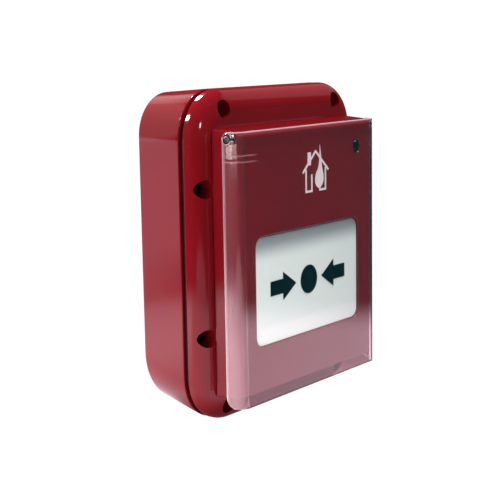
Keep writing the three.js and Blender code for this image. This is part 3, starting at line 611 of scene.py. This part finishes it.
def housing():
    body = [housing_outline(y, 0) for y in (HOUSING_REAR, -34.6, -43.4)]
    piece = loft("housing_shell", body + front_round(housing_outline, HOUSING_FRONT, FRONT_ROUND))
    inside = [housing_outline(y, HOUSING_WALL) for y in (HOUSING_REAR + 2, HOUSING_INSIDE)]
    combine(piece, "DIFFERENCE", top_rounding(), loft("tool", inside))

    posts = [rod(SCREW_POST, HOUSING_REAR, POST_END, place, sides=32) for place in HOUSING_SCREWS]
    holes = [rod(KEY_HOLE, -60, -50, KEY_PLACE, "Z")]
    for side in (-1, 1):
        low_x, high_x = sorted(side * x for x in HINGE_BLOCK[0])
        posts.append(block(*zip((low_x, high_x), *HINGE_BLOCK[1:])))
        low, high = sorted((side * 40.6, side * 50))
        holes.append(rod(PIN_HOLE, low, high, HINGE, "X", 48))
        for x, z, rear, hole_rear in SIDE_POSTS:
            posts.append(rod(INNER_POST, rear, POST_END, (side * x, z), sides=24))
            holes.append(rod(INNER_HOLE, hole_rear, -41.5, (side * x, z), sides=24))
    x, z, rear, hole_rear = MIDDLE_POST
    posts.append(rod(INNER_POST, rear, POST_END, (x, z), sides=24))
    holes.append(rod(INNER_HOLE, hole_rear, -41.5, (x, z), sides=24))
    holes += [rod(HOUSING_SCREW_HOLE, -32, -40, place, sides=24) for place in HOUSING_SCREWS]
    combine(piece, "UNION", *posts)

    lip = [window_outline(HOUSING_FRONT + LIP - y, g) for g, y in arc(LIP, 0, LIP, 180, 90, 4)]
    window = [window_outline(-41, 0)] + lip + [window_outline(HOUSING_FRONT - 2, LIP)]
    lamp_hole = [(0, -41), (LAMP_HOLE, -41), (LAMP_HOLE, HOUSING_FRONT + 0.3),
                 (LAMP_HOLE + 0.3, HOUSING_FRONT), (LAMP_HOLE + 0.3, -47), (0, -47)]
    combine(piece, "DIFFERENCE", loft("tool", window), lathe("tool", lamp_hole, LAMP_PLACE), *holes)
    dress(piece, "red_plastic", "housing", "front_housing", sharp=35)


housing()

# ---- Clear cover ---------------------------------------------------------------------------------
COVER_HALF, COVER_BOTTOM, COVER_TOP = 49.2, -57.4, 49.1
COVER_FRONT, COVER_REAR = -47.6, -40.0
COVER_WALL, MOULD_LINE_HEIGHT, CORNER_START = 1.7, 0.4, 37
BEND, HEEL, HINGE_CORNER, BOSS = 5.2, 4.5, 2.5, 2.3  # radii, seen from above and from the side


def cover_plan(wall):
    """The cover seen from above: a front with its two sides bent back."""
    left, right, centre_y = -COVER_HALF + BEND, COVER_HALF - BEND, COVER_FRONT + BEND
    outer = arc(left, centre_y, BEND, 180, 270, 24) + arc(right, centre_y, BEND, 270, 360, 24)
    inner = arc(right, centre_y, BEND - wall, 0, -90, 24) + arc(left, centre_y, BEND - wall, 270, 180, 24)
    plan = [(-COVER_HALF, COVER_REAR)] + outer + [(COVER_HALF, COVER_REAR)]
    return plan + [(COVER_HALF - wall, COVER_REAR)] + inner + [(-COVER_HALF + wall, COVER_REAR)]


def cover():
    plan, raised = cover_plan(COVER_WALL), cover_plan(COVER_WALL + MOULD_LINE_HEIGHT)
    piece = loft("clear_flap", [(COVER_BOTTOM, plan), (COVER_TOP, plan)], "Z")
    ribs = []
    for low in MOULD_LINES:
        rib = loft("tool", [(low, raised), (low + MOULD_LINE, raised)], "Z")
        middle = block((-CORNER_START, -49, low - 1), (CORNER_START, -39, low + 1))
        ribs.append(combine(rib, "DIFFERENCE", middle))
    combine(piece, "UNION", *ribs)
    side = [(COVER_FRONT - 1, COVER_BOTTOM)]
    side += arc(COVER_REAR - HEEL, COVER_BOTTOM + HEEL, HEEL, -90, 0, 20)
    side += arc(*HINGE, HINGE_CORNER, 0, 90, 20) + [(COVER_FRONT - 1, COVER_TOP)]
    combine(piece, "INTERSECT", loft("tool", [(-COVER_HALF - 1, side), (COVER_HALF + 1, side)], "X"))
    bosses = []
    for side_x in (-1, 1):
        low, high = sorted((side_x * 47, side_x * (COVER_HALF - 0.9)))
        bosses.append(rod(BOSS, low, high, HINGE, "X", 48))
    combine(piece, "UNION", *bosses)
    combine(piece, "DIFFERENCE", rod(PIN_HOLE, -60, 60, HINGE, "X", 48))
    soften(piece, 0.35)
    dress(piece, "clear_plastic", "cover", "flip_cover", sharp=45)


cover()


def hinge_pin(name, node, side):
    """A polished pin with a rolled, hollow head."""
    pin, head, hollow = 1.6, 2.1, 0.9
    profile = [(0, 40.9), (pin - 0.2, 40.9), (pin, 41.1), (pin, 49.5)]
    profile += [(head - 0.2 + r, x) for r, x in arc(0, 49.7, 0.2, -90, 90, 8)]
    profile += [(hollow + 0.25 + r, x) for r, x in arc(0, 49.65, 0.25, 90, 180, 6)]
    profile += [(hollow, 46.2), (0, 46.0)]
    profile = [(radius, side * x) for radius, x in profile]
    dress(lathe(name, profile, HINGE, "X", 48), "bright_steel", "housing", node, sharp=50)


hinge_pin("hinge_pin_left", "cover_pin_left", -1)
hinge_pin("hinge_pin_right", "cover_pin_right", 1)


# ---- Push element and its legend -----------------------------------------------------------------
ELEMENT_FACE, ELEMENT_PLAY, FLANGE = -44.2, 0.3, 1.5
PRINT_REAR, PRINT_FRONT = ELEMENT_FACE - 0.02, ELEMENT_FACE - 0.17
LEGEND_Z, DOT = -13.8, 5.9
ARROW_TAIL, ARROW_NECK, ARROW_TIP = 26.6, 18.1, 9.1  # across
SHAFT, HEAD = 2.9, 5.7  # half heights


def element():
    def at(y, inset):
        return window_outline(y, -ELEMENT_PLAY - inset)

    flange = [at(-41.2, -FLANGE), at(-42.4, -FLANGE), at(-42.4, 0)]
    face = front_round(at, ELEMENT_FACE, 0.4) + [at(ELEMENT_FACE, 1.1)]
    dress(loft("press_plate", flange + face), "white_plastic", "element", "push_element", sharp=35)


element()


def printed(name, outline, node):
    piece = loft(name, [(PRINT_REAR, outline), (PRINT_FRONT, outline)])
    dress(piece, "black_ink", "element", node)


def arrow(side):
    """An arrow that points to the middle, from the left (-1) or the right (1)."""
    upper = [(ARROW_TAIL, SHAFT), (ARROW_NECK, SHAFT), (ARROW_NECK, HEAD)]
    outline = [(side * x, LEGEND_Z + z) for x, z in upper] + [(side * ARROW_TIP, LEGEND_Z)]
    return outline + [(side * x, LEGEND_Z - z) for x, z in reversed(upper)]


printed("printed_arrow_left", arrow(-1), "legend_arrow_left")
printed("printed_arrow_right", arrow(1), "legend_arrow_right")
printed("printed_dot", arc(0, LEGEND_Z, DOT, 0, 357, 119), "legend_dot")


# ---- Lamp, key and cable fittings ----------------------------------------------------------------
def lamp():
    """A 5 mm lamp with a flange behind and an oval dome in front."""
    lens, flange, rear, dome_start, dome_height, steps = 2.55, 2.95, -36.8, -43.8, 1.8, 12
    turns = [math.pi / 2 * i / steps for i in range(steps)]
    dome = [(lens * math.cos(t), dome_start - dome_height * math.sin(t)) for t in turns]
    profile = [(0, rear), (flange, rear), (flange, -38.0), (lens, -38.0)]
    profile += dome + [(0, dome_start - dome_height)]
    dress(lathe("lamp_lens", profile, LAMP_PLACE), "lens_green", "housing", "status_lamp", sharp=50)


lamp()


def key_barrel():
    """A turning barrel with a collar, a stop arm at its top, and a slot for the key from below."""
    x, y = KEY_PLACE
    barrel, collar, bottom, top = 3.2, 4, -53.9, -46.5
    profile = [(0, bottom), (barrel - 0.3, bottom), (barrel, bottom + 0.3), (barrel, -51.4)]
    profile += [(collar, -51.4), (collar, -50.2), (barrel, -50.2), (barrel, top), (0, top)]
    piece = lathe("reset_key_way", profile, KEY_PLACE, "Z")
    combine(piece, "UNION", block((x - 1.4, y - 1.4, -47), (x + 4.2, y + 1.4, -44.5)))
    combine(piece, "DIFFERENCE", block((x - 2.2, y - 0.6, -56), (x + 2.2, y + 0.6, -51.6)))
    dress(piece, "black_plastic", "reset_key", "reset_key_barrel", sharp=35)


key_barrel()


def grommet():
    """A rubber ring in the rear wall, with a lip inside and a rounded throat."""
    throat, neck, lip, lip_round = 5, 8.7, 10.8, 0.4
    profile = [(throat, -0.4), (neck, -0.4), (neck, -3.1), (lip, -3.1)]
    profile += [(lip - lip_round + r, y) for r, y in arc(0, -4.4, lip_round, 0, -90, 5)]
    profile += [(throat + 0.3 - r, y) for r, y in arc(0, -4.5, 0.3, 270, 360, 5)]
    piece = lathe("rear_grommet", profile, CABLE_PLACE, closed=True)
    dress(piece, "seal_rubber", "housing", "cable_grommet")


grommet()


def entry_plug():
    """A hollow plug in the bottom entry, as high as the CAD's, with a screwdriver slot below."""
    low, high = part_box("entry_plug")
    bottom, top = low.z / MM, high.z / MM
    head, head_round, head_height, thread, hollow, hollow_end = 7.4, 0.4, 1.2, 5.7, 4.2, -61
    edge = arc(0, bottom + head_round, head_round, -90, 0, 5)
    profile = [(0, bottom)] + [(head - head_round + r, z) for r, z in edge]
    profile += [(head, bottom + head_height), (thread, bottom + head_height), (thread, top)]
    profile += [(hollow, top), (hollow, hollow_end), (0, hollow_end)]
    piece = lathe("blanking_plug", profile, ENTRY_PLACE, "Z")
    y = ENTRY_PLACE[1]
    combine(piece, "DIFFERENCE", block((-4.6, y - 0.8, bottom - 1), (4.6, y + 0.8, bottom + 0.6)))
    dress(piece, "red_plastic", "housing", "entry_plug", sharp=35)


entry_plug()


# ---- CAD pieces that stay as they are ------------------------------------------------------------
SLOT_OF = {part["node"]: part["material_slot"] for part in frame["record"]["subparts"]}
for node, kept in frame["nodes"].items():
    if not kept.hide_render:
        kept.data.materials.clear()
        kept.data.materials.append(MATERIALS[SLOT_OF[node]])


# ---- Floor, surroundings and lights --------------------------------------------------------------
FLOOR_Z, FLOOR_HALF = -67.6, 3000
BACKDROP = 1.05  # brightness of the floor and of the air as the camera sees them
GLOW_FRONT, GLOW_REAR = (1.25, 0.98, 1.14, 1), (2.2, 1.9, 2.1, 1)
UNLIT_LEFT, UNLIT_RIGHT = (0.01, 0.01, 0.01, 1), (0.01, 0.075, 0.09, 1)
REDDISH_NEAR, REDDISH_FAR = (0.18, 0.04, 0.06, 1), (0.04, 0.01, 0.013, 1)
UNDER_MIRRORED, UNDER_THROWN = (0.34, 0.11, 0.14, 1), (0.3, 0.12, 0.12, 1)
THROWN_FAR, THROWN_NEAR = (0.25, 0.25, 0.25, 1), (2.5, 2.55, 2.5, 1)


def floor():
    """White to the camera. Glossy faces and the cover mirror a painted glow: lit round the object and
    behind it, and darker and reddish beside and below it. The light that it throws on the object
    is a plain glow, brightest at the object's front left."""
    corners = [(-FLOOR_HALF, -FLOOR_HALF), (FLOOR_HALF, -FLOOR_HALF), (FLOOR_HALF, FLOOR_HALF)]
    corners.append((-FLOOR_HALF, FLOOR_HALF))
    piece = build("floor", [(*corner, FLOOR_Z) for corner in corners], [(0, 1, 2, 3)])
    g = Graph("pale_floor")
    x, y, _ = g.coordinates()

    def away(from_x, from_y, scale_y=1.0):
        """Metres from a point, with the way along Y scaled."""
        across = g.maths("SUBTRACT", x, from_x)
        along = g.maths("MULTIPLY", g.maths("SUBTRACT", y, from_y), scale_y)
        squares = g.maths("ADD", g.maths("MULTIPLY", across, across), g.maths("MULTIPLY", along, along))
        return g.maths("SQRT", squares)

    distance = away(-0.07, -0.02)
    pool = g.eased(distance, 0.3, 0.21)
    front_left = g.maths("MULTIPLY", g.eased(away(-0.25, -0.27), 0.19, 0.12), 0.5)
    sideways = g.maths("MULTIPLY", g.maths("ABSOLUTE", x), 0.85)
    behind = g.eased(g.maths("SUBTRACT", y, sideways), -0.03, 0.1)
    forward = g.maths("MULTIPLY", g.maths("ADD", y, 0.04), 0.5)
    beside = g.eased(g.maths("SUBTRACT", x, forward), 0.0, 0.05)
    beside = g.maths("MULTIPLY", beside, g.eased(y, -0.06, -0.02))
    rear_part = g.maths("MULTIPLY", g.eased(y, 0.0, 0.1), g.eased(distance, 0.36, 0.14))
    under = g.eased(away(0.0, -0.024, 2.1), 0.075, 0.045)

    unlit = g.blend(g.eased(x, 0.0, 0.12), UNLIT_LEFT, UNLIT_RIGHT)
    glowing = g.blend(rear_part, GLOW_FRONT, GLOW_REAR)
    reddish = g.blend(g.eased(distance, 0.16, 0.4), REDDISH_NEAR, REDDISH_FAR)
    where_lit = g.maths("MAXIMUM", g.maths("MAXIMUM", pool, behind), front_left)
    mirrored = g.blend(beside, g.blend(where_lit, unlit, glowing), reddish)
    mirrored = g.blend(under, mirrored, UNDER_MIRRORED)

    near = g.eased(away(-0.15, -0.1), 0.25, 0.1)
    thrown = g.blend(under, g.blend(near, THROWN_FAR, THROWN_NEAR), UNDER_THROWN)

    rays = g.node("ShaderNodeLightPath").outputs
    unseen = g.blend(rays["Is Diffuse Ray"], mirrored, thrown)
    glow = g.node("ShaderNodeEmission")
    g.put(glow.inputs["Color"], g.blend(rays["Is Camera Ray"], unseen, (BACKDROP, BACKDROP, BACKDROP, 1)))
    piece.data.materials.append(g.finish(glow.outputs["Emission"]))


floor()


def surroundings():
    """White behind the object; dim all round, and dimmer still in what the glossy faces mirror."""
    thrown, mirrored = 0.22, 0.045
    world = bpy.data.worlds.new("studio")
    bpy.context.scene.world = world
    world.use_nodes = True
    tree = world.node_tree
    tree.nodes.clear()
    rays = tree.nodes.new("ShaderNodeLightPath")
    seen = tree.nodes.new("ShaderNodeBackground")
    seen.inputs["Color"].default_value = (1, 1, 1, 1)
    seen.inputs["Strength"].default_value = BACKDROP
    around = tree.nodes.new("ShaderNodeBackground")
    around.inputs["Color"].default_value = (1.0, 0.97, 0.97, 1)
    level = tree.nodes.new("ShaderNodeMix")
    level.data_type = "FLOAT"
    tree.links.new(rays.outputs["Is Glossy Ray"], level.inputs["Factor"])
    level.inputs["A"].default_value = thrown
    level.inputs["B"].default_value = mirrored
    tree.links.new(level.outputs["Result"], around.inputs["Strength"])
    mix = tree.nodes.new("ShaderNodeMixShader")
    tree.links.new(rays.outputs["Is Camera Ray"], mix.inputs["Fac"])
    tree.links.new(around.outputs["Background"], mix.inputs[1])
    tree.links.new(seen.outputs["Background"], mix.inputs[2])
    output = tree.nodes.new("ShaderNodeOutputWorld")
    tree.links.new(mix.outputs["Shader"], output.inputs["Surface"])


surroundings()


def softbox(name, at_mm, towards, distance, width, height, radiance, mirrored=True):
    """A softbox in a direction from a point on the object, with the brightness it has in a mirror.
    Sizes and the distance are metres. The camera never sees it, and glossy faces only if mirrored."""
    data = bpy.data.lights.new(name, "AREA")
    data.shape = "RECTANGLE"
    data.size, data.size_y = width, height
    data.energy = radiance * math.pi * width * height
    box = bpy.data.objects.new(name, data)
    direction = Vector(towards).normalized()
    place = Vector(at_mm) * MM + direction * distance
    turn = direction.to_track_quat("Z", "Y")
    box.matrix_world = Matrix.Translation(place) @ turn.to_matrix().to_4x4()
    box.visible_camera = False
    box.visible_glossy = mirrored
    bpy.context.scene.collection.objects.link(box)


softbox("back_top_softbox", (-45, -27, 61), (0.262, 0.608, 0.749), 1.1, 0.2, 0.15, 85)
softbox("back_left_softbox", (-52, -26, 54), (-0.49, 0.638, 0.594), 1.1, 0.12, 0.18, 75)
softbox("front_left_softbox", (-50.5, -31, 51.5), (-0.425, -0.815, 0.394), 1.1, 0.12, 0.17, 24)
softbox("backdrop_glow", (0, 0, 0), (-0.1, 0.93, 0.35), 1.3, 1.7, 1.2, 0.62)
softbox("backdrop_top", (0, -10, 64), (0.3, 0.73, 0.61), 1.2, 0.5, 0.7, 0.5)
softbox("right_glow", (0, -33, 57), (0.85, -0.1, 0.52), 1.1, 0.9, 0.6, 0.3)
softbox("overhead_fill", (0, -40, 50), (0.25, -0.25, 0.935), 1.1, 0.7, 0.7, 19, mirrored=False)
softbox("left_fill", (-50, -30, 0), (-0.89, 0.42, 0.2), 1.1, 0.8, 0.8, 7, mirrored=False)

scene = bpy.context.scene
scene.view_settings.view_transform = "Standard"
scene.view_settings.look = "None"
scene.view_settings.exposure = 0
scene.view_settings.gamma = 1
